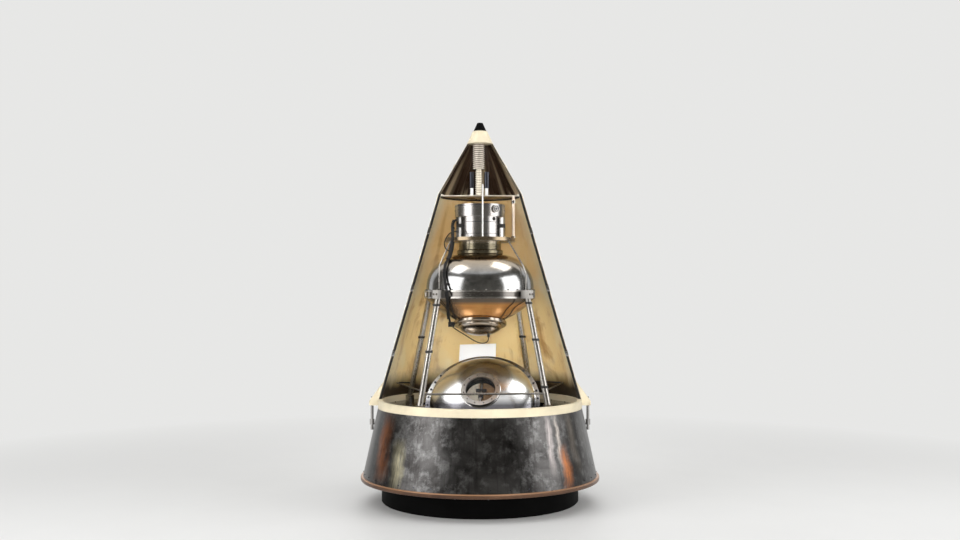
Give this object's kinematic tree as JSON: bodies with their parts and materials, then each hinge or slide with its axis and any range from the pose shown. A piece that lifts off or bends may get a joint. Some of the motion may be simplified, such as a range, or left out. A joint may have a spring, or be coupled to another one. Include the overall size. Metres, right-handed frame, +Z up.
{
  "type": "space capsule display model",
  "caption": "Cut-away space capsule model on a round plinth: polished skirt, half conical fairing, round instrument container on a strut frame, and a domed cabin with a porthole",
  "frame": {"origin": "centre of the plinth's underside, on the floor", "axes": "+Z up along the capsule's axis, -Y out of the open side, +X to the right seen from the open side"},
  "size_m": [1.2798, 1.28, 2.031],
  "materials": {
    "black_paint": "satin",
    "copper_trim": "satin",
    "polished_skirt": "polished",
    "cream_paint": "satin",
    "polished_deck": "polished",
    "ivory_skin": "satin",
    "dark_polish": "polished",
    "chrome": "polished",
    "polished_metal": "polished",
    "dark_plastic": "matte",
    "white_plastic": "gloss",
    "glass": "clear",
    "card": "matte",
    "black_cable": "matte"
  },
  "bodies": {
    "root": {"base_plate": "polished_metal", "cabin_back": "polished_metal", "cabin_body": "polished_metal", "cabin_cover": "polished_metal", "cabin_cradle": "black_paint", "cable_plug": "dark_plastic", "card": "card", "container_band": "polished_metal", "container_boss": "dark_polish", "container_bowl": "polished_metal", "container_cap": "polished_metal", "container_dome": "polished_metal", "dark_posts": "dark_polish", "deck": "polished_deck", "drum_body": "chrome", "drum_feet": "chrome", "drum_fitting": "chrome", "drum_head": "chrome", "drum_lead": "black_cable", "fairing_shell": "ivory_skin", "flare_ring": "cream_paint", "foot_caps": "dark_plastic", "front_rail": "chrome", "hanging_cable": "black_cable", "hoop": "cream_paint", "neck": "polished_metal", "nose_bulkhead": "chrome", "nose_collar": "cream_paint", "nose_liner": "dark_polish", "nose_shell": "ivory_skin", "nose_tip": "black_paint", "plinth": "black_paint", "porthole_bar": "chrome", "porthole_glass": "glass", "porthole_ring": "chrome", "short_posts": "white_plastic", "side_locks": "chrome", "sight_rod": "white_plastic", "skirt": "polished_skirt", "skirt_rim": "copper_trim", "spring_column": "cream_paint", "spring_sleeve": "chrome", "stays": "chrome", "strut_brackets": "dark_polish", "strut_clamps": "dark_plastic", "strut_feet": "chrome", "struts": "chrome", "tray": "polished_metal", "vent_pipe": "chrome", "wall_braces": "dark_polish", "wire_bundle": "black_cable", "wire_clip": "dark_plastic"}
  },
  "joints": []
}
